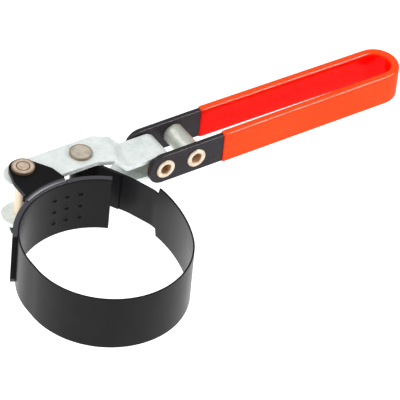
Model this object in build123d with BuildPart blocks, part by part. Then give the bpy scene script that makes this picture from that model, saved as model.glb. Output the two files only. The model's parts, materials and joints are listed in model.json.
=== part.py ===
"""Swivel-handle, band-type oil filter wrench.

Row frame: the origin is the centre of the band's front clamping arc, half way up the band.
+Z is the filter's axis, and +X runs along the handle. All lengths are millimetres.
"""

from build123d import *
import os
from math import atan2, cos, degrees, radians, sin

os.makedirs("parts", exist_ok=True)

# Band: one steel strip, bent round the filter and looped round the pull rivet.
band_radius = 46.0
band_thick = 1.0
band_half_width = 17.5
back_centre = (0.0, 6.0)
tongue_angle = 52.6
side_start_angle = 338.0
side_radius = 84.0
side_stop_angle = 367.0
side_tip = (47.7, 29.0)
pull_bend = (41.9, 43.8)
pull_half_width = 12.8
pull_bend_radius = 3.0
eye_bore_radius = 4.6
fold_back_length = 15.0

# The band bends at two places in this model: thin breaks at these polar angles.
flex_angles = (190.0, 320.0)
flex_gap_angle = 0.4

# Spot welds that join the band to the bracket: three columns of three.
weld_angles = (73.5, 83.5, 93.5)
weld_pitch = 8.3
weld_radius = 1.5
weld_depth = 0.5

# Anchor bracket: a curved web outside the back of the band, with an ear above and below.
web_thick = 2.8
web_end_angle = 151.0
ear_top = 18.5
ear_thick = 2.8
ear_bend_radius = 4.2
ear_sides = (-21.2, 5.2)
ear_root_y = 46.0
ear_left_top_y = 65.5
ear_right_knees_y = (59.0, 66.0)
ear_right_slope = 1.6
ear_corner_radius = 5.0
ear_tip_radius = 8.0
ear_tip_angles = (22.0, 160.0)
relief_angles = (83.6, 117.2)
relief_width = 0.5
relief_depth = 3.6

# Rivets that turn in the lever.
anchor_pivot = (-10.8, 73.3)
pull_pivot = (25.7, 71.8)
pin_radius = 4.0
anchor_head_radius = 6.6
pull_head_radius = 6.5
head_height = 1.5
head_edge_radius = 1.1
running_clearance = 0.05

# Lever: one strip folded round the handle pivot, spreading into two parallel arms.
lever_thick = 2.6
arm_outer = 15.6
arm_end_centre = (-12.4, 71.8)
arm_half_width = 10.25
fold_top_x = 43.6
fold_low_x = 51.5
fold_slant = 0.3
fold_radius = 2.0
tab_half_width = 10.0
neck_far_x = (39.5, 45.0)
neck_near_x = (29.5, 39.0)
neck_radius = 3.5
trim_lead = 6.0
loop_lead = 8.0
profile_start_x = -60.0
profile_half_run = 30.0

# Handle: a U-shaped strip that swivels on a tubular rivet through the lever's loop.
handle_y = 67.6
pivot_x = 71.5
spacer_x = 91.9
leg_tip_x = 61.2
leg_outer = 13.75
strip_thick = 3.0
strip_half_width = 9.5
leg_corner_radius = 8.6
strip_edge_radius = 0.4
taper_start_x = 104.0
bow_end_x = 235.4
bow_far_shift = 1.8
grip_start_x = 110.0
grip_thick = 1.0
grip_edge_radius = 0.9

# Tubular rivets and the spacer tube between the legs.
tube_radius = 4.5
tube_bore_radius = 3.2
flange_radius = 5.85
flange_thick = 0.8
flange_edge_radius = 0.55
spacer_radius = 6.2

# How far a vertex may lie from the place it is chosen by.
reach_margin = 0.1

inner_radius = band_radius + band_thick / 2
eye_inner = tube_radius + running_clearance
eye_outer = eye_inner + lever_thick


def polar(radius, angle, centre=(0.0, 0.0)):
    """The point at a radius and an angle in degrees about a centre."""
    turn = radians(angle)
    return (centre[0] + radius * cos(turn), centre[1] + radius * sin(turn))


def step(point, distance, angle):
    """The point reached from another by a distance in a direction in degrees."""
    return polar(distance, angle, point)


def weld_points():
    """Centres of the dimples on the band's inner face."""
    depth_radius = band_radius - band_thick / 2 - weld_radius + weld_depth
    rows = (-weld_pitch, 0.0, weld_pitch)
    return [(*polar(depth_radius, angle, back_centre), z) for angle in weld_angles for z in rows]


# Band, fixed end: welded inside the bracket, and down the left side to the first break.
fixed_stop = flex_angles[0] - flex_gap_angle / 2
with BuildPart() as band_fixed_end:
    with BuildSketch():
        with BuildLine():
            CenterArc(back_centre, band_radius, tongue_angle, 180.0 - tongue_angle)
            Line((-band_radius, back_centre[1]), (-band_radius, 0.0))
            CenterArc((0, 0), band_radius, 180.0, fixed_stop - 180.0)
        trace(line_width=band_thick)
    extrude(amount=band_half_width, both=True)
    with Locations(*weld_points()):
        Sphere(weld_radius, mode=Mode.SUBTRACT)

# Band, loop: the front arc, which grips the filter.
loop_start = flex_angles[0] + flex_gap_angle / 2
loop_stop = flex_angles[1] - flex_gap_angle / 2
with BuildPart() as band_loop:
    with BuildSketch():
        with BuildLine():
            CenterArc((0, 0), band_radius, loop_start, loop_stop - loop_start)
        trace(line_width=band_thick)
    extrude(amount=band_half_width, both=True)

# Band, pull end: the right side at full width, then a narrower strip up to the eye.
pull_start = flex_angles[1] + flex_gap_angle / 2
side_start = polar(band_radius, side_start_angle)
side_centre = polar(-side_radius, side_start_angle, side_start)
side_stop = polar(side_radius, side_stop_angle, side_centre)
pull_direction = degrees(atan2(pull_pivot[1] - pull_bend[1], pull_pivot[0] - pull_bend[0]))
fold_offset = band_thick / 2
# The strip meets the pivot on one side of the line to its centre, and its fold lies on the other.
strip_stop = step(step(pull_pivot, eye_bore_radius, pull_direction + 180), fold_offset,
                  pull_direction - 90)
fold_start = step(strip_stop, band_thick, pull_direction + 90)
fold_stop = step(fold_start, fold_back_length, pull_direction + 180)
with BuildPart() as band_pull_end:
    with BuildSketch():
        with BuildLine():
            CenterArc((0, 0), band_radius, pull_start, side_start_angle - pull_start)
            CenterArc(side_centre, side_radius, side_start_angle,
                      side_stop_angle - side_start_angle)
        trace(line_width=band_thick)
    extrude(amount=band_half_width, both=True)
    with BuildSketch():
        with BuildLine():
            FilletPolyline(side_stop, side_tip, pull_bend, strip_stop, radius=pull_bend_radius)
        trace(line_width=band_thick)
        with BuildLine():
            Line(fold_start, fold_stop)
        trace(line_width=band_thick)
        with Locations(pull_pivot):
            Circle(eye_bore_radius + band_thick)
            Circle(eye_bore_radius, mode=Mode.SUBTRACT)
    extrude(amount=pull_half_width, both=True)

# Anchor bracket: the web, its two ears, the rounded bends and the relief slots beside them.
web_middle = inner_radius + web_thick / 2
tip_start = polar(ear_tip_radius, ear_tip_angles[1], anchor_pivot)
tip_top = polar(ear_tip_radius, 90.0, anchor_pivot)
tip_stop = polar(ear_tip_radius, ear_tip_angles[0], anchor_pivot)
ear_left, ear_right = ear_sides
knee_low, knee_high = ear_right_knees_y
relief_right, relief_left = relief_angles
bend_radius = inner_radius + ear_bend_radius
bend_start = ear_top - ear_bend_radius
bend_plane = Plane(origin=(*back_centre, 0), x_dir=(*polar(1, relief_right), 0),
                   z_dir=(*polar(1, relief_right - 90), 0))
with BuildPart() as anchor_bracket:
    with BuildSketch():
        with BuildLine():
            CenterArc(back_centre, web_middle, tongue_angle, web_end_angle - tongue_angle)
        trace(line_width=web_thick)
    extrude(amount=band_half_width, both=True)
    # Between the reliefs the sheet runs up the band and bends outwards to the ear.
    with BuildSketch(bend_plane):
        with BuildLine():
            Polyline((bend_radius, ear_top), (bend_radius + 1, ear_top),
                     (bend_radius + 1, ear_top - ear_thick), (bend_radius, ear_top - ear_thick))
            RadiusArc((bend_radius, ear_top - ear_thick), (inner_radius + web_thick, bend_start),
                      -(ear_bend_radius - web_thick))
            Polyline((inner_radius + web_thick, bend_start), (inner_radius + web_thick, 0),
                     (inner_radius, 0), (inner_radius, bend_start))
            RadiusArc((inner_radius, bend_start), (bend_radius, ear_top), ear_bend_radius)
        make_face()
    revolve(axis=Axis((*back_centre, 0), (0, 0, 1)), revolution_arc=relief_left - relief_right)
    with BuildSketch(Plane.XY.offset(ear_top - ear_thick)) as ear:
        with BuildLine():
            Polyline(tip_stop, (ear_right - ear_right_slope, knee_high), (ear_right, knee_low),
                     (ear_right, ear_root_y), (ear_left, ear_root_y),
                     (ear_left, ear_left_top_y), tip_start)
            ThreePointArc(tip_start, tip_top, tip_stop)
        make_face()
        corners = ear.vertices().filter_by(lambda v: knee_low - 1 < v.Y < knee_high + 1)
        fillet(corners, radius=ear_corner_radius)
        with Locations(back_centre):
            Circle(bend_radius, mode=Mode.SUBTRACT)
        with Locations(anchor_pivot):
            Circle(pin_radius, mode=Mode.SUBTRACT)
    extrude(amount=ear_thick)
    mirror(about=Plane.XY)
    for side in (1, -1):
        with BuildSketch(Plane.XY.offset(side * ear_top)):
            for angle in relief_angles:
                place = Location((*polar(web_middle, angle, back_centre), 0), (0, 0, angle))
                with Locations(place):
                    Rectangle(web_thick * 2, relief_width)
        extrude(amount=-side * relief_depth, mode=Mode.SUBTRACT)

# Lever: a folded side profile, cut to its outline seen from above.
arm_middle = arm_outer - lever_thick / 2
tab_middle = eye_inner + lever_thick / 2
skew_start = handle_y - profile_half_run
lean = -fold_slant * profile_half_run
skew = Vector(fold_slant, 1, 0)
with BuildPart() as swing_lever:
    # The arms and the slope between the two fold lines, which lean across the lever.
    with BuildSketch(Plane.XZ.offset(-skew_start)):
        for side in (1, -1):
            with BuildLine():
                FilletPolyline((profile_start_x, side * arm_middle),
                               (fold_top_x + lean, side * arm_middle),
                               (fold_low_x + lean, side * tab_middle),
                               (pivot_x + lean, side * tab_middle), radius=fold_radius)
            trace(line_width=lever_thick)
    extrude(amount=2 * profile_half_run * skew.length, dir=skew.normalized())
    # Trim the arms to their outline from above.
    with BuildSketch(Plane.XY.offset(-arm_outer)) as outline:
        with BuildLine():
            end_x, end_y = arm_end_centre
            far_y = end_y + arm_half_width
            near_y = end_y - arm_half_width
            tab_far_y = handle_y + tab_half_width
            tab_near_y = handle_y - tab_half_width
            trim_x = pivot_x - trim_lead
            Polyline((end_x, far_y), (neck_far_x[0], far_y), (neck_far_x[1], tab_far_y),
                     (trim_x, tab_far_y), (trim_x, tab_near_y), (neck_near_x[1], tab_near_y),
                     (neck_near_x[0], near_y), (end_x, near_y))
            ThreePointArc((end_x, near_y), (end_x - arm_half_width, end_y), (end_x, far_y))
        make_face()
        neck = outline.vertices().filter_by(lambda v: neck_near_x[0] <= v.X <= neck_far_x[1])
        fillet(neck, radius=neck_radius)
    extrude(amount=2 * arm_outer, mode=Mode.INTERSECT)
    # The loop round the handle's pivot rivet.
    with BuildSketch(Plane.XZ.offset(-handle_y)):
        with Locations((pivot_x, 0)):
            Circle(eye_outer)
        with Locations((pivot_x - loop_lead / 2, 0)):
            Rectangle(loop_lead, 2 * eye_outer)
        with Locations((pivot_x, 0)):
            Circle(eye_inner, mode=Mode.SUBTRACT)
        with Locations((pivot_x - loop_lead / 2, 0)):
            Rectangle(loop_lead, 2 * eye_inner, mode=Mode.SUBTRACT)
    extrude(amount=tab_half_width, both=True)
    with BuildSketch(Plane.XY):
        with Locations(anchor_pivot, pull_pivot):
            Circle(pin_radius + running_clearance)
    extrude(amount=arm_outer, both=True, mode=Mode.SUBTRACT)


def solid_rivet(centre, grip, head_radius):
    """A solid rivet with a low domed head at each end, turned round its own axis."""
    top = grip + head_height
    x, y = centre
    with BuildPart() as rivet:
        with BuildSketch(Plane(origin=(x, y, 0), x_dir=(1, 0, 0), z_dir=(0, -1, 0))) as half:
            with BuildLine():
                Polyline((0, -top), (head_radius, -top), (head_radius, -grip), (pin_radius, -grip),
                         (pin_radius, grip), (head_radius, grip), (head_radius, top), (0, top),
                         (0, -top))
            make_face()
            corners = half.vertices().filter_by(lambda v: v.X > x + head_radius - reach_margin)
            outer = corners.filter_by(lambda v: abs(v.Z) > top - reach_margin)
            fillet(outer, radius=head_edge_radius)
        revolve(axis=Axis((x, y, 0), (0, 0, 1)))
    return rivet.part


def tubular_rivet(x):
    """A hollow rivet across both handle legs, with rolled flanges."""
    reach = leg_outer + flange_thick
    with BuildPart() as rivet:
        with BuildSketch() as half:
            with BuildLine():
                Polyline((x + tube_bore_radius, handle_y - reach), (x + flange_radius, handle_y - reach),
                         (x + flange_radius, handle_y - leg_outer),
                         (x + tube_radius, handle_y - leg_outer),
                         (x + tube_radius, handle_y + leg_outer),
                         (x + flange_radius, handle_y + leg_outer),
                         (x + flange_radius, handle_y + reach),
                         (x + tube_bore_radius, handle_y + reach),
                         (x + tube_bore_radius, handle_y - reach))
            make_face()
            rims = half.vertices().filter_by(lambda v: abs(v.Y - handle_y) > reach - reach_margin)
            fillet(rims, radius=flange_edge_radius)
        revolve(axis=Axis((x, handle_y, 0), (0, 1, 0)))
    return rivet.part


anchor_rivet = solid_rivet(anchor_pivot, ear_top, anchor_head_radius)
pull_rivet = solid_rivet(pull_pivot, arm_outer, pull_head_radius)
pivot_rivet = tubular_rivet(pivot_x)
spacer_rivet = tubular_rivet(spacer_x)

# Spacer tube that keeps the handle's legs apart at the second rivet.
leg_gap_half = leg_outer - strip_thick
with BuildPart() as spacer_tube:
    with BuildSketch(Plane.XZ.offset(-handle_y)):
        with Locations((spacer_x, 0)):
            Circle(spacer_radius)
            Circle(tube_radius + running_clearance, mode=Mode.SUBTRACT)
    extrude(amount=leg_gap_half, both=True)

# Handle strip: two legs and the round bow at the far end.
leg_middle = leg_outer - strip_thick / 2


def u_path(start_x):
    """The middle line of the handle strip: the far leg leans in behind the spacer to a rounder bow."""
    near, far = handle_y - leg_middle, handle_y + leg_middle
    bow_radius = leg_middle - bow_far_shift / 2
    bow_x = bow_end_x - strip_thick / 2 - bow_radius
    bow_y = near + bow_radius
    Line((start_x, near), (bow_x, near))
    ThreePointArc((bow_x, near), (bow_x + bow_radius, bow_y), (bow_x, bow_y + bow_radius))
    if start_x < taper_start_x:
        Polyline((bow_x, bow_y + bow_radius), (taper_start_x, far), (start_x, far))
    else:
        share = (start_x - taper_start_x) / (bow_x - taper_start_x)
        Line((bow_x, bow_y + bow_radius), (start_x, far - bow_far_shift * share))


with BuildPart() as handle_strip:
    with BuildSketch():
        with BuildLine():
            u_path(leg_tip_x)
        trace(line_width=strip_thick)
    extrude(amount=strip_half_width, both=True)
    tip_corners = handle_strip.edges().filter_by(Axis.Y).group_by(Axis.X)[0]
    fillet(tip_corners, radius=leg_corner_radius)
    long_edges = handle_strip.edges().filter_by(lambda e: e.length > 30.0)
    fillet(long_edges, radius=strip_edge_radius)
    with BuildSketch(Plane.XZ.offset(-handle_y)):
        with Locations((pivot_x, 0), (spacer_x, 0)):
            Circle(tube_radius)
    extrude(amount=leg_outer, both=True, mode=Mode.SUBTRACT)

# Vinyl grip: a dipped skin all round the strip, open at the front.
with BuildPart() as vinyl_grip:
    with BuildSketch():
        with BuildLine():
            u_path(grip_start_x)
        trace(line_width=strip_thick + 2 * grip_thick)
    extrude(amount=strip_half_width + grip_thick, both=True)
    rims = vinyl_grip.edges().filter_by(lambda e: abs(e.center().Z) > strip_half_width)
    fillet(rims.filter_by(lambda e: e.center().X > grip_start_x + 1), radius=grip_edge_radius)
    with BuildSketch():
        with BuildLine():
            u_path(grip_start_x)
        trace(line_width=strip_thick)
    extrude(amount=strip_half_width, both=True, mode=Mode.SUBTRACT)

pieces = {
    "band_fixed_end": band_fixed_end.part,
    "band_loop": band_loop.part,
    "band_pull_end": band_pull_end.part,
    "anchor_bracket": anchor_bracket.part,
    "anchor_rivet": anchor_rivet,
    "swing_lever": swing_lever.part,
    "pull_rivet": pull_rivet,
    "pivot_rivet": pivot_rivet,
    "spacer_rivet": spacer_rivet,
    "spacer_tube": spacer_tube.part,
    "handle_strip": handle_strip.part,
    "vinyl_grip": vinyl_grip.part,
}
for name, piece in pieces.items():
    piece.label = name
    export_step(piece, f"parts/{name}.step")
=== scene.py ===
"""Looks of the band-type oil filter wrench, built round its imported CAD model. Lengths are metres."""

import json
import math

import bpy
from mathutils import Matrix, Vector


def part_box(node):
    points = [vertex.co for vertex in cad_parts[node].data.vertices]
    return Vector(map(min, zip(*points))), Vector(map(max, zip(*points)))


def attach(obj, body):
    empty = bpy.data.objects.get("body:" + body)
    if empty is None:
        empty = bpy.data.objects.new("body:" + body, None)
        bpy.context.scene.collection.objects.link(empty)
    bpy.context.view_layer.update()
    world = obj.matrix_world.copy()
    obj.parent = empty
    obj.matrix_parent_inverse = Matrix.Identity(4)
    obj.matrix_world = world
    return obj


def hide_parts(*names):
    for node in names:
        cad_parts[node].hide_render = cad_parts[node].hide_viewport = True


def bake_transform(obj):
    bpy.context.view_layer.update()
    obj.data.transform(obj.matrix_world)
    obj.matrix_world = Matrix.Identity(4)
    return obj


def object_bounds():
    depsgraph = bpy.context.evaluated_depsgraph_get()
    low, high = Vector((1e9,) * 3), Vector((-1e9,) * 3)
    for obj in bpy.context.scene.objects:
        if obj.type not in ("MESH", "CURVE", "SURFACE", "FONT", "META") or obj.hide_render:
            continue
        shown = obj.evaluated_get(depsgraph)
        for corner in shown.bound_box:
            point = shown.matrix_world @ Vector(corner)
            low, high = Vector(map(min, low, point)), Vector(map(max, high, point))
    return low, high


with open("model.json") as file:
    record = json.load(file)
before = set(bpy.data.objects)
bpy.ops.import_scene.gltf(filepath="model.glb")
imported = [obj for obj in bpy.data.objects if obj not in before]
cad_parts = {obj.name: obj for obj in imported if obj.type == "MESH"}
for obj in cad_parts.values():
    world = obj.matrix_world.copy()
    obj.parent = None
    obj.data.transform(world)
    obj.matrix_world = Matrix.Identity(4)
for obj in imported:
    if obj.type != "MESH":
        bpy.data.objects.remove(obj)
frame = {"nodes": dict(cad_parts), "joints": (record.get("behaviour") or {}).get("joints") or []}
cad_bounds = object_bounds()

MM = 0.001
# The centre of the band's back arc, which the anchor bracket follows.
BACK_CENTRE = (0.0, 6.0 * MM)
SMOOTH_ANGLE = math.radians(35.0)


# ---------------------------------------------------------------- shared helpers

def node_centre(node):
    """The middle of a CAD node's box."""
    low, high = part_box(node)
    return [(a + b) / 2 for a, b in zip(low, high)]


def joint_place(name):
    """A joint's position in the shared frame."""
    found = [j for j in frame["joints"] if j["name"] == name][0]
    return Vector(found["pos_m"])


def polar(radius, degrees, centre=(0.0, 0.0)):
    """The point at a radius and angle about a centre, seen from above."""
    turn = math.radians(degrees)
    return Vector((centre[0] + radius * math.cos(turn), centre[1] + radius * math.sin(turn)))


def arc(radius, start, stop, centre, spacing):
    """Points round an arc from one angle to another, both ends included."""
    count = max(2, round(abs(math.radians(stop - start)) * radius / spacing))
    return [polar(radius, start + (stop - start) * i / count, centre) for i in range(count + 1)]


def new_object(name, verts, faces):
    """A mesh object in the scene, shaded smooth except at sharp edges."""
    mesh = bpy.data.meshes.new(name)
    mesh.from_pydata([tuple(v) for v in verts], [], faces)
    mesh.validate()
    mesh.update()
    obj = bpy.data.objects.new(name, mesh)
    bpy.context.scene.collection.objects.link(obj)
    mesh.shade_smooth()
    mesh.set_sharp_from_angle(angle=SMOOTH_ANGLE)
    return obj


def resample(points, spacing):
    """Points along a polyline at about equal spacing, its corners kept."""
    out = [points[0]]
    for a, b in zip(points, points[1:]):
        count = max(1, round((b - a).length / spacing))
        out += [a.lerp(b, (i + 1) / count) for i in range(count)]
    return out


def smoothed(points, rounds):
    """A polyline with its corners relaxed, ends kept."""
    for _ in range(rounds):
        points = ([points[0]]
                  + [(a + 2 * b + c) / 4 for a, b, c in zip(points, points[1:], points[2:])]
                  + [points[-1]])
    return points


def path_frames(points):
    """Each point of a flat path with its unit normal, to the left of the way it runs."""
    frames = []
    for i, point in enumerate(points):
        ahead = points[min(i + 1, len(points) - 1)] - points[max(i - 1, 0)]
        ahead.normalize()
        frames.append((point, Vector((-ahead.y, ahead.x))))
    return frames


def round_section(half_thick, half_width, radius, rows, steps):
    """A rounded rectangle as (offset, height) pairs: rows along its sides, steps at its corners."""
    tall = half_width - radius
    wide = half_thick - radius

    def corner(side_x, side_z, start):
        turns = [math.radians(start - 90 * i / steps) for i in range(1, steps + 1)]
        return [(side_x * wide + radius * math.cos(turn), side_z * tall + radius * math.sin(turn))
                for turn in turns]

    points = [(-half_thick, -tall + 2 * tall * i / rows) for i in range(rows + 1)]
    points += corner(-1, 1, 180) + corner(1, 1, 90)
    points += [(half_thick, tall - 2 * tall * i / rows) for i in range(1, rows + 1)]
    points += corner(1, -1, 0) + corner(-1, -1, 270)
    return points[:-1]


def sweep(name, frames, section_at, dent=None):
    """A closed solid: a section in (normal, Z) carried along a flat path, capped at both ends."""
    verts = []
    count = len(section_at(0))
    for i, (point, normal) in enumerate(frames):
        for offset, height in section_at(i):
            place = point + normal * offset
            vert = Vector((place.x, place.y, height))
            verts.append(dent(vert, offset) if dent else vert)
    faces = []
    for i in range(len(frames) - 1):
        for j in range(count):
            k = (j + 1) % count
            faces.append((i * count + j, i * count + k, (i + 1) * count + k, (i + 1) * count + j))
    last = (len(frames) - 1) * count
    faces.append(tuple(range(count - 1, -1, -1)))
    faces.append(tuple(last + j for j in range(count)))
    return new_object(name, verts, faces)


# ---------------------------------------------------------------- materials

EDGE_SAMPLES = 6
SHADE_SAMPLES = 12
# Cosines between the rounded and the true normal: on an open face, and on an edge.
OPEN_COSINE, EDGE_COSINE = 0.995, 0.80
# Most noise values lie between these.
NOISE_LOW, NOISE_HIGH = 0.3, 0.7
# The bracket's bends lie inside this radius and beyond this height.
BEND_RADIUS = 50.4 * MM
BEND_HEIGHT = 15.0 * MM
BEND_FADE = 1.0 * MM
BEND_GLOSS = 0.5
# A solid rivet's head: the share of its radius where the rim starts to darken, and its height.
HEAD_RIM = 0.80
HEAD_HEIGHT = 1.5 * MM
HEAD_EDGE = 0.3 * MM
# Painted light on the shank: it fades in below the head to a brighter gold than the head.
SHANK_FADE = 0.5 * MM
SHANK_GOLD_PAINTED_LIGHT = (0.84, 0.69, 0.52)
MARK_WIDTH = 0.4 * MM
# The painted shade in a tubular rivet's bore starts at the first radius and is full at the second.
BORE_SHADE_START, BORE_SHADE_FULL = 3.8 * MM, 3.3 * MM
# How far the vinyl looks for facing surfaces, and how open its shaded and its open faces are.
SHADE_REACH = 35 * MM
SHADED, OPEN = 0.66, 0.90


def material(name):
    """A new node material, its node tree and its Principled node."""
    mat = bpy.data.materials.new(name)
    mat.use_nodes = True
    tree = mat.node_tree
    shader = tree.nodes["Principled BSDF"]
    return mat, tree, shader


def noise(tree, scale, detail, stretch=(1, 1, 1), rough=0.55):
    """A noise texture in object space, stretched along the axes given; returns its value socket."""
    coords = tree.nodes.new("ShaderNodeTexCoord")
    mapping = tree.nodes.new("ShaderNodeMapping")
    mapping.inputs["Scale"].default_value = stretch
    texture = tree.nodes.new("ShaderNodeTexNoise")
    texture.inputs["Scale"].default_value = scale
    texture.inputs["Detail"].default_value = detail
    texture.inputs["Roughness"].default_value = rough
    tree.links.new(coords.outputs["Object"], mapping.inputs["Vector"])
    tree.links.new(mapping.outputs["Vector"], texture.inputs["Vector"])
    return texture.outputs["Fac"]


def ramp(tree, value, stops):
    """A colour ramp over a value; stops are two (place, colour) pairs."""
    node = tree.nodes.new("ShaderNodeValToRGB")
    for element, (place, colour) in zip(node.color_ramp.elements, stops):
        element.position = place
        element.color = (*colour, 1.0)
    tree.links.new(value, node.inputs["Fac"])
    return node.outputs["Color"]


def span(tree, value, low, high, out_low, out_high):
    """A value mapped from one span to another."""
    node = tree.nodes.new("ShaderNodeMapRange")
    node.inputs["From Min"].default_value = low
    node.inputs["From Max"].default_value = high
    node.inputs["To Min"].default_value = out_low
    node.inputs["To Max"].default_value = out_high
    tree.links.new(value, node.inputs["Value"])
    return node.outputs["Result"]


def mix(tree, factor, a, b):
    """Two colours mixed by a factor; each may be a socket or a plain colour."""
    node = tree.nodes.new("ShaderNodeMix")
    node.data_type = "RGBA"
    tree.links.new(factor, node.inputs["Factor"])
    for key, value in (("A", a), ("B", b)):
        socket = [s for s in node.inputs if s.name == key and s.type == "RGBA"][0]
        if isinstance(value, tuple):
            socket.default_value = (*value, 1.0)
        else:
            tree.links.new(value, socket)
    return [s for s in node.outputs if s.type == "RGBA"][0]


def rounded_normal(tree, radius):
    """The surface's normal with its edges rounded."""
    bevel = tree.nodes.new("ShaderNodeBevel")
    bevel.samples = EDGE_SAMPLES
    bevel.inputs["Radius"].default_value = radius
    return bevel.outputs["Normal"]


def edge_zone(tree, normal):
    """0 on open faces and 1 at edges, from how far the rounded normal leans there."""
    geometry = tree.nodes.new("ShaderNodeNewGeometry")
    dot = tree.nodes.new("ShaderNodeVectorMath")
    dot.operation = "DOT_PRODUCT"
    tree.links.new(normal, dot.inputs[0])
    tree.links.new(geometry.outputs["Normal"], dot.inputs[1])
    return span(tree, dot.outputs["Value"], OPEN_COSINE, EDGE_COSINE, 0.0, 1.0)


def vary(tree, value, low, high):
    """A noise value mapped so that it mostly lies between low and high."""
    return span(tree, value, NOISE_LOW, NOISE_HIGH, low, high)


def brighter(colour, times):
    """A colour multiplied, up to white."""
    return tuple(min(1.0, times * c) for c in colour)


def bump(tree, shader, height, strength, distance, normal=None):
    """Small relief on the shader's normal."""
    node = tree.nodes.new("ShaderNodeBump")
    node.inputs["Strength"].default_value = strength
    node.inputs["Distance"].default_value = distance
    tree.links.new(height, node.inputs["Height"])
    if normal is not None:
        tree.links.new(normal, node.inputs["Normal"])
    tree.links.new(node.outputs["Normal"], shader.inputs["Normal"])


def axis_distance(tree, centre):
    """Distance of the surface from an axis: components of centre that are None are left out."""
    coords = tree.nodes.new("ShaderNodeTexCoord")
    shift = tree.nodes.new("ShaderNodeVectorMath")
    shift.operation = "SUBTRACT"
    shift.inputs[1].default_value = [c or 0.0 for c in centre]
    flat = tree.nodes.new("ShaderNodeVectorMath")
    flat.operation = "MULTIPLY"
    flat.inputs[1].default_value = [0.0 if c is None else 1.0 for c in centre]
    length = tree.nodes.new("ShaderNodeVectorMath")
    length.operation = "LENGTH"
    tree.links.new(coords.outputs["Object"], shift.inputs[0])
    tree.links.new(shift.outputs["Vector"], flat.inputs[0])
    tree.links.new(flat.outputs["Vector"], length.inputs[0])
    return length.outputs["Value"]


def bend_zone(tree):
    """1 on the rounded bends between the bracket's web and its ears, 0 elsewhere."""
    radius = axis_distance(tree, (*BACK_CENTRE, None))
    height = axis_distance(tree, (None, None, 0.0))
    both = tree.nodes.new("ShaderNodeMath")
    both.operation = "MULTIPLY"
    inside = span(tree, radius, BEND_RADIUS, BEND_RADIUS - BEND_FADE, 0.0, 1.0)
    beyond = span(tree, height, BEND_HEIGHT, BEND_HEIGHT + BEND_FADE, 0.0, 1.0)
    tree.links.new(inside, both.inputs[0])
    tree.links.new(beyond, both.inputs[1])
    return both.outputs["Value"]


def black_steel(name, base, gloss, roughness, grain, edge_radius=None, edge_wear_and_highlight=None, painted_bend_highlight=None):
    """Blackened sheet steel: faint grain and patches; where asked, edges lighter with wear and a
    painted highlight, and bends with a painted highlight and more gloss.
    """
    mat, tree, shader = material(name)
    patches = noise(tree, scale=90, detail=5)
    streaks = noise(tree, scale=320, detail=4, stretch=grain)
    colour = ramp(tree, patches, ((0.3, base), (0.75, brighter(base, 1.6))))
    normal = None
    # Along the edges the base colour is lighter: partly wear, partly a painted highlight.
    if edge_radius:
        normal = rounded_normal(tree, edge_radius)
        colour = mix(tree, edge_zone(tree, normal), colour, edge_wear_and_highlight)
    shader.inputs["Specular IOR Level"].default_value = gloss
    # On the bends the base colour is a painted highlight, lighter and bluish, and the gloss is raised
    # there.
    if painted_bend_highlight:
        bend = bend_zone(tree)
        colour = mix(tree, bend, colour, painted_bend_highlight)
        tree.links.new(span(tree, bend, 0.0, 1.0, gloss, BEND_GLOSS),
                       shader.inputs["Specular IOR Level"])
    tree.links.new(colour, shader.inputs["Base Color"])
    tree.links.new(vary(tree, streaks, roughness - 0.015, roughness + 0.025),
                   shader.inputs["Roughness"])
    bump(tree, shader, streaks, strength=0.010, distance=0.1 * MM, normal=normal)
    return mat


def zinc(name, light, dark, roughness, edge_radius, grain=(1, 1, 1)):
    """Bright zinc plate: cloudy, slightly green-blue, with fine tumbling marks."""
    mat, tree, shader = material(name)
    clouds = noise(tree, scale=160, detail=8, stretch=grain, rough=0.75)
    fine = noise(tree, scale=900, detail=3, stretch=grain)
    normal = rounded_normal(tree, edge_radius)
    colour = ramp(tree, clouds, ((0.30, dark), (0.62, light)))
    colour = mix(tree, edge_zone(tree, normal), colour, brighter(light, 1.15))
    tree.links.new(colour, shader.inputs["Base Color"])
    shader.inputs["Metallic"].default_value = 0.45
    tree.links.new(vary(tree, clouds, roughness + 0.08, roughness - 0.05),
                   shader.inputs["Roughness"])
    bump(tree, shader, fine, strength=0.12, distance=0.2 * MM, normal=normal)
    return mat


def vinyl(name):
    """Glossy dipped vinyl with slight flow marks.

    Its base colour is a deeper red where the legs face each other. That isn't a second finish: it
    stands in for the red light that bounces between them.
    """
    mat, tree, shader = material(name)
    flow = noise(tree, scale=30, detail=2, stretch=(0.5, 1, 2))
    peel = noise(tree, scale=420, detail=2)
    open_red = ramp(tree, flow, ((0.3, (0.84, 0.060, 0.009)), (0.7, (0.88, 0.072, 0.012))))
    deep_red = ramp(tree, flow, ((0.3, (0.86, 0.001, 0.0005)), (0.7, (0.92, 0.002, 0.001))))
    shade = tree.nodes.new("ShaderNodeAmbientOcclusion")
    shade.samples = SHADE_SAMPLES
    shade.inputs["Distance"].default_value = SHADE_REACH
    exposed = span(tree, shade.outputs["AO"], SHADED, OPEN, 0.0, 1.0)
    tree.links.new(mix(tree, exposed, deep_red, open_red), shader.inputs["Base Color"])
    tree.links.new(vary(tree, peel, 0.24, 0.32), shader.inputs["Roughness"])
    shader.inputs["Specular IOR Level"].default_value = 0.0
    shader.inputs["Coat Weight"].default_value = 0.15
    shader.inputs["Coat Roughness"].default_value = 0.12
    bump(tree, shader, peel, strength=0.04, distance=0.2 * MM)
    return mat


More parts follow.
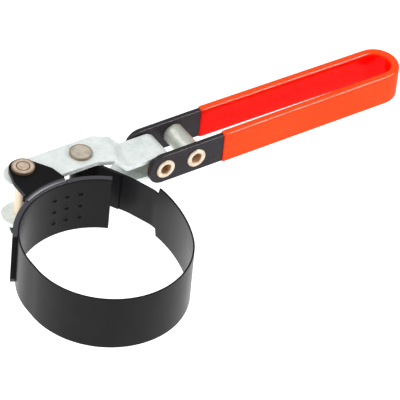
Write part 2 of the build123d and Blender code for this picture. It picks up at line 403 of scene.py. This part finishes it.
def head_plate(name, node, light, dark, rim, mark=None):
    """A solid rivet's plating: darker to the rim, brighter on the shank with painted light, maybe with
    a ring mark.
    """
    mat, tree, shader = material(name)
    x, y, _ = node_centre(node)
    low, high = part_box(node)
    radius = (high[0] - low[0]) / 2
    distance = axis_distance(tree, (x, y, None))
    clouds = noise(tree, scale=260, detail=5)
    fine = noise(tree, scale=1500, detail=3)
    normal = rounded_normal(tree, HEAD_EDGE)
    colour = ramp(tree, clouds, ((0.32, dark), (0.60, light)))
    outside = span(tree, distance, HEAD_RIM * radius, radius, 0.0, 1.0)
    colour = mix(tree, outside, colour, rim)
    if mark:
        ring = tree.nodes.new("ShaderNodeMath")
        ring.operation = "COMPARE"
        ring.inputs[1].default_value = mark
        ring.inputs[2].default_value = MARK_WIDTH
        tree.links.new(distance, ring.inputs[0])
        colour = mix(tree, ring.outputs["Value"], colour, rim)
    height = axis_distance(tree, (None, None, 0.0))
    head_foot = high[2] - HEAD_HEIGHT
    shank = span(tree, height, head_foot, head_foot - SHANK_FADE, 0.0, 1.0)
    # Painted light: the shank is brighter than the head.
    colour = mix(tree, shank, colour, SHANK_GOLD_PAINTED_LIGHT)
    tree.links.new(colour, shader.inputs["Base Color"])
    shader.inputs["Metallic"].default_value = 0.4
    tree.links.new(vary(tree, clouds, 0.48, 0.34), shader.inputs["Roughness"])
    bump(tree, shader, fine, strength=0.15, distance=0.2 * MM, normal=normal)
    return mat


def tube_plate(name, node, light, dark, painted_bore_shade):
    """A tubular rivet's pale brass plating, with painted shade, a darker brown, in the bore."""
    mat, tree, shader = material(name)
    x, _, z = node_centre(node)
    distance = axis_distance(tree, (x, None, z))
    clouds = noise(tree, scale=300, detail=5)
    colour = ramp(tree, clouds, ((0.32, dark), (0.60, light)))
    # Painted shade: the bore turns darker brown towards its axis.
    inside = span(tree, distance, BORE_SHADE_START, BORE_SHADE_FULL, 0.0, 1.0)
    bore_shaded = ramp(tree, clouds, ((0.35, painted_bore_shade), (0.62, brighter(painted_bore_shade, 2.2))))
    tree.links.new(mix(tree, inside, colour, bore_shaded), shader.inputs["Base Color"])
    shader.inputs["Metallic"].default_value = 0.45
    tree.links.new(vary(tree, clouds, 0.40, 0.26), shader.inputs["Roughness"])
    bump(tree, shader, clouds, strength=0.12, distance=0.3 * MM)
    return mat


band_black = black_steel("band_black", base=(0.006, 0.006, 0.007), gloss=0.13, roughness=0.30,
                         grain=(0.4, 0.4, 1.6))
# The bracket's bends get a painted highlight; its edges are lighter, partly wear and partly painted
# highlight.
bracket_black = black_steel("bracket_black", base=(0.005, 0.005, 0.0055), gloss=0.06,
                            roughness=0.30, grain=(1, 1, 1), edge_radius=0.4 * MM,
                            edge_wear_and_highlight=(0.05, 0.05, 0.055), painted_bend_highlight=(0.035, 0.035, 0.045))
# The handle's edges are lighter, partly wear and partly painted highlight.
handle_black = black_steel("handle_black", base=(0.020, 0.017, 0.020), gloss=0.12,
                           roughness=0.26, grain=(0.5, 1, 1.6), edge_radius=0.4 * MM,
                           edge_wear_and_highlight=(0.16, 0.15, 0.15))
lever_zinc = zinc("lever_zinc", light=(0.86, 0.905, 0.88), dark=(0.64, 0.705, 0.685),
                  roughness=0.42, edge_radius=0.5 * MM)
spacer_zinc = zinc("spacer_zinc", light=(0.60, 0.62, 0.56), dark=(0.32, 0.34, 0.29),
                   roughness=0.45, edge_radius=0.3 * MM, grain=(1, 0.5, 1))
anchor_gold = head_plate("anchor_gold", "anchor_rivet", light=(0.66, 0.53, 0.41),
                         dark=(0.44, 0.33, 0.24), rim=(0.16, 0.10, 0.06), mark=3.7 * MM)
pull_plate = head_plate("pull_plate", "pull_rivet", light=(0.56, 0.50, 0.41),
                        dark=(0.38, 0.33, 0.26), rim=(0.22, 0.17, 0.12))
# The last colour is the painted shade in the bore.
brass = {"light": (0.80, 0.68, 0.54), "dark": (0.60, 0.48, 0.36), "painted_bore_shade": (0.44, 0.30, 0.185)}
pivot_brass = tube_plate("pivot_brass", "pivot_rivet", **brass)
spacer_brass = tube_plate("spacer_brass", "spacer_rivet", **brass)
red_vinyl = vinyl("red_vinyl")


def paint(obj, mat):
    """Gives an object one material."""
    obj.data.materials.clear()
    obj.data.materials.append(mat)


node_paint = {
    "anchor_bracket": bracket_black,
    "anchor_rivet": anchor_gold,
    "swing_lever": lever_zinc,
    "pull_rivet": pull_plate,
    "pivot_rivet": pivot_brass,
    "spacer_rivet": spacer_brass,
    "spacer_tube": spacer_zinc,
    "handle_strip": handle_black,
}
for node, mat in node_paint.items():
    paint(frame["nodes"][node], mat)

# ---------------------------------------------------------------- band

BAND_RADIUS = 46.0 * MM
BAND_THICK = 1.0 * MM
BAND_HALF = 17.5 * MM
TONGUE_ANGLE = 52.6
SIDE_START_ANGLE = 338.0
SIDE_RADIUS = 84.0 * MM
SIDE_STOP_ANGLE = 367.0
SIDE_TIP = Vector((47.7, 29.0)) * MM
PULL_BEND = Vector((41.9, 43.8)) * MM
PULL_HALF = 12.8 * MM
PULL_PIVOT = Vector(node_centre("pull_rivet")[:2])
EYE_RADIUS = 5.1 * MM
EYE_RUN = 12.0 * MM
FOLD_BACK = 14.0 * MM
WELD_ANGLES = (73.5, 83.5, 93.5)
WELD_PITCH = 8.3 * MM
WELD_SPREAD = 1.25 * MM
WELD_DEPTH = 0.62 * MM
# A dimple's reach and its raised rim's place and width are in spreads, the rim's height in depths.
WELD_REACH = 2.2
RIM_PLACE = 1.35
RIM_WIDTH = 0.3
RIM_HEIGHT = 0.25
# How far from the band's inner face a point may be and still be dented.
ON_FACE = 0.01 * MM
# Angles round the band: where the dimples end, its left side and its front's middle.
DENTS_STOP = 100.0
LEFT_ANGLE = 180.0
FRONT_ANGLE = 270.0
# Distances between the points along the band.
DENT_SPACING = 0.45 * MM
PULL_SPACING = 0.5 * MM
BAND_SPACING = 1.2 * MM
BAND_EDGE = 0.22 * MM
BAND_ROWS = 78
CORNER_STEPS = 3
SMOOTH_ROUNDS = 12
# How many points of the path the band's step to its narrow part takes.
STEP_POINTS = 2


weld_rows = (-WELD_PITCH, 0.0, WELD_PITCH)
weld_places = [(*polar(BAND_RADIUS - BAND_THICK / 2, a, BACK_CENTRE), z)
               for a in WELD_ANGLES for z in weld_rows]


def weld_dent(vert, offset):
    """Pushes the band's inner face outwards into a shallow dish at each spot weld."""
    if offset < BAND_THICK / 2 - ON_FACE:
        return vert
    for place in weld_places:
        reach = (vert - Vector(place)).length
        if reach < WELD_REACH * WELD_SPREAD:
            out = Vector((vert.x - BACK_CENTRE[0], vert.y - BACK_CENTRE[1], 0)).normalized()
            spreads = reach / WELD_SPREAD
            dish = math.exp(-spreads ** 4)
            rim = RIM_HEIGHT * math.exp(-((spreads - RIM_PLACE) / RIM_WIDTH) ** 2)
            return vert + out * WELD_DEPTH * (dish - rim)
    return vert


# Left half: from the tongue inside the bracket, round the back and down to the front's middle.
left_path = arc(BAND_RADIUS, TONGUE_ANGLE, DENTS_STOP, BACK_CENTRE, DENT_SPACING)
left_path += arc(BAND_RADIUS, DENTS_STOP, LEFT_ANGLE, BACK_CENTRE, BAND_SPACING)[1:]
left_path += [Vector((-BAND_RADIUS, BACK_CENTRE[1] / 2))]
left_path += arc(BAND_RADIUS, LEFT_ANGLE, FRONT_ANGLE, (0, 0), BAND_SPACING)
left_frames = path_frames(left_path)
left_frames[-1] = (left_frames[-1][0], Vector((0, 1)))
band_section = round_section(BAND_THICK / 2, BAND_HALF, BAND_EDGE, BAND_ROWS, CORNER_STEPS)
band_left = sweep("band_left", left_frames, lambda i: band_section, weld_dent)

# Right half: the front's middle to the side, the narrow pull strip and the eye, folded back.
ahead = (PULL_PIVOT - PULL_BEND).normalized()
right_hand = Vector((ahead.y, -ahead.x))
side_start = polar(BAND_RADIUS, SIDE_START_ANGLE)
side_centre = polar(-SIDE_RADIUS, SIDE_START_ANGLE, side_start)
eye_mouth = PULL_PIVOT - ahead * EYE_RUN + right_hand * BAND_THICK / 2
wrap = math.degrees(math.acos(EYE_RADIUS / EYE_RUN))
pull_direction = math.degrees(math.atan2(ahead.y, ahead.x))
first = pull_direction - 180.0 + wrap
last = pull_direction + 180.0 - wrap
return_mouth = PULL_PIVOT - ahead * EYE_RUN - right_hand * BAND_THICK / 2
return_end = return_mouth - ahead * FOLD_BACK
wide_run = arc(BAND_RADIUS, FRONT_ANGLE, SIDE_START_ANGLE, (0, 0), BAND_SPACING)[:-1]
wide_run += arc(SIDE_RADIUS, SIDE_START_ANGLE, SIDE_STOP_ANGLE, side_centre, BAND_SPACING)
pull_run = [wide_run[-1], SIDE_TIP, PULL_BEND, eye_mouth]
pull_run += arc(EYE_RADIUS, first, last, PULL_PIVOT, PULL_SPACING) + [return_mouth, return_end]
pull_run = smoothed(resample(pull_run, PULL_SPACING), SMOOTH_ROUNDS)
right_path = wide_run + pull_run[1:]
right_frames = path_frames(right_path)
right_frames[0] = (right_frames[0][0], Vector((0, 1)))


def band_half_at(i):
    """Half the band's width along the right half: it steps in beyond the side."""
    passed = min(1.0, max(0.0, (i - len(wide_run) + 1) / STEP_POINTS))
    return BAND_HALF + (PULL_HALF - BAND_HALF) * passed


def tail_section(i):
    """The band's section, squeezed to its width at that place."""
    scale = band_half_at(i) / BAND_HALF
    return [(offset, height * scale) for offset, height in band_section]


band_right = sweep("band_right", right_frames, tail_section)

for piece in (band_left, band_right):
    paint(piece, band_black)
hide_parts("band_fixed_end", "band_loop")
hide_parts("band_pull_end", "band_loop")
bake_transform(band_left)
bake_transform(band_right)

# ---------------------------------------------------------------- vinyl grip

strip_low, strip_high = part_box("handle_strip")
GRIP_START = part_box("vinyl_grip")[0][0]
STRIP_HALF_THICK = 1.5 * MM
STRIP_HALF = 9.5 * MM
SKIN = 1.0 * MM
TAPER_START = 104.0 * MM
FAR_SHIFT = 1.8 * MM
# At its open ends the skin starts at a share of its full thickness and swells over the lip.
LIP = 1.6 * MM
LIP_THIN = 0.25
LIP_STEPS = (0.0, 0.08, 0.25, 0.5, 0.8)
GRIP_EDGE = 1.9 * MM
GRIP_EDGE_SHARE = 0.8
GRIP_ROWS = 12
GRIP_CORNER_STEPS = 6
LEG_SPACING = 2.0 * MM
BOW_SPACING = 0.9 * MM
near_middle = strip_low[1] + STRIP_HALF_THICK
far_middle = strip_high[1] - STRIP_HALF_THICK
bow_radius = (far_middle - near_middle - FAR_SHIFT) / 2
bow_centre = Vector((strip_high[0] - STRIP_HALF_THICK - bow_radius, near_middle + bow_radius))


def grip_mesh():
    """The dipped skin: a rounded sleeve along the U, closed round the strip at its open ends."""
    share = (GRIP_START - TAPER_START) / (bow_centre.x - TAPER_START)
    near_run = resample([Vector((GRIP_START, near_middle)), Vector((bow_centre.x, near_middle))],
                        LEG_SPACING)
    far_run = resample([Vector((bow_centre.x, near_middle + 2 * bow_radius)),
                        Vector((GRIP_START, far_middle - FAR_SHIFT * share))], LEG_SPACING)
    front = [near_run[0] + Vector((LIP * t, 0)) for t in LIP_STEPS]
    rear = [far_run[-1] + Vector((LIP * t, 0)) for t in reversed(LIP_STEPS)]
    bow = arc(bow_radius, -90.0, 90.0, bow_centre, BOW_SPACING)
    path = front + near_run[1:] + bow[1:-1] + far_run[:-1] + rear
    frames = path_frames(path)

    def section(i):
        edge = min(path[i].x - GRIP_START, LIP) / LIP
        swell = math.sqrt(max(0.0, 1 - (1 - edge) ** 2))
        skin = SKIN * (LIP_THIN + (1 - LIP_THIN) * swell)
        thick = STRIP_HALF_THICK + skin
        radius = min(GRIP_EDGE, thick * GRIP_EDGE_SHARE)
        return round_section(thick, STRIP_HALF + skin, radius, GRIP_ROWS, GRIP_CORNER_STEPS)

    return sweep("grip_skin", frames, section)


grip_skin = grip_mesh()
paint(grip_skin, red_vinyl)
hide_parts("vinyl_grip")
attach(grip_skin, "handle")

# ---------------------------------------------------------------- stage, light and camera

TARGET = Vector((74.3, 22.3, 0)) * MM
DISTANCE = 2222 * MM
# The way from the target to the camera, and the camera's right before its roll.
BACK = Vector((-0.4484, -0.6090, 0.6543))
RIGHT = Vector((0.8053, -0.5929, 0.0))
ROLL = math.radians(5.7)
# The lens and its sensor are in millimetres.
LENS_LENGTH = 360
SENSOR_WIDTH = 36
CLIP_END = 20.0
FLOOR_CLEARANCE = 15 * MM
HANDLE_REACH = cad_bounds[1][0] - joint_place("handle_swivel").x
FLOOR_Z = -HANDLE_REACH - FLOOR_CLEARANCE
FLOOR_HALF = 3.0
FLOOR_GLOW = 0.38
SKY_STRENGTH = 0.60
# The name, place, width and power of each soft light.
SOFT_LIGHTS = (
    ("top", (-0.55, 0.45, 1.1), 0.7, 8.5),
    ("left", (-0.9, -0.2, 0.6), 0.6, 3),
    ("key", (0.79, -0.59, 0.58), 0.3, 5),
)
GLINT_PLACE = (0.74, -0.62, 0.75)


def camera():
    """A long lens from the front left and above, slightly rolled."""
    data = bpy.data.cameras.new("camera")
    data.lens = LENS_LENGTH
    data.sensor_width = SENSOR_WIDTH
    data.clip_end = CLIP_END
    obj = bpy.data.objects.new("camera", data)
    bpy.context.scene.collection.objects.link(obj)
    back = BACK.normalized()
    up = back.cross(RIGHT).normalized()
    right = math.cos(ROLL) * RIGHT + math.sin(ROLL) * up
    top = -math.sin(ROLL) * RIGHT + math.cos(ROLL) * up
    turn = Matrix((right, top, back)).transposed()
    obj.matrix_world = Matrix.Translation(TARGET + back * DISTANCE) @ turn.to_4x4()
    bpy.context.scene.camera = obj


def floor():
    """A plain pale sheet, low enough for the handle to swing down above it."""
    verts = [(x * FLOOR_HALF, y * FLOOR_HALF, FLOOR_Z)
             for x, y in ((-1, -1), (1, -1), (1, 1), (-1, 1))]
    obj = new_object("floor", verts, [(0, 1, 2, 3)])
    mat, tree, shader = material("pale_floor")
    patches = noise(tree, scale=3, detail=2)
    tint = ramp(tree, patches, ((0.3, (0.93, 0.93, 0.93)), (0.7, (0.95, 0.95, 0.95))))
    tree.links.new(tint, shader.inputs["Base Color"])
    shader.inputs["Roughness"].default_value = 0.9
    shader.inputs["Specular IOR Level"].default_value = 0.1
    shader.inputs["Emission Color"].default_value = (1.0, 1.0, 1.0, 1.0)
    shader.inputs["Emission Strength"].default_value = FLOOR_GLOW
    paint(obj, mat)


def area_light(name, place, width, height, power):
    """A soft rectangular light that faces the tool, its width level with the floor."""
    data = bpy.data.lights.new(name, "AREA")
    data.shape = "RECTANGLE"
    data.size = width
    data.size_y = height
    data.energy = power
    obj = bpy.data.objects.new(name, data)
    bpy.context.scene.collection.objects.link(obj)
    obj.location = place
    obj.rotation_euler = (TARGET - Vector(place)).to_track_quat("-Z", "Y").to_euler()
    return obj


def glint(name, pieces, width, height, power):
    """A light that shows only as a highlight, and only on the pieces given."""
    obj = area_light(name, GLINT_PLACE, width, height, power)
    obj.visible_diffuse = False
    receivers = bpy.data.collections.new(name)
    for piece in pieces:
        receivers.objects.link(piece)
    obj.light_linking.receiver_collection = receivers


def lights():
    """A pale sky, the soft lights, and glints along the rounded edges of handle and bracket."""
    world = bpy.data.worlds.new("studio")
    bpy.context.scene.world = world
    world.use_nodes = True
    sky = world.node_tree.nodes["Background"]
    sky.inputs["Color"].default_value = (1.0, 1.0, 1.0, 1.0)
    sky.inputs["Strength"].default_value = SKY_STRENGTH
    for name, place, width, power in SOFT_LIGHTS:
        area_light(name, place, width, width, power)
    glint("grip_glint", (frame["nodes"]["handle_strip"], grip_skin), width=0.95, height=0.45,
          power=75)
    glint("bend_glint", (frame["nodes"]["anchor_bracket"],), width=1.30, height=0.90, power=38)


camera()
floor()
lights()
bpy.context.scene.view_settings.view_transform = "Standard"
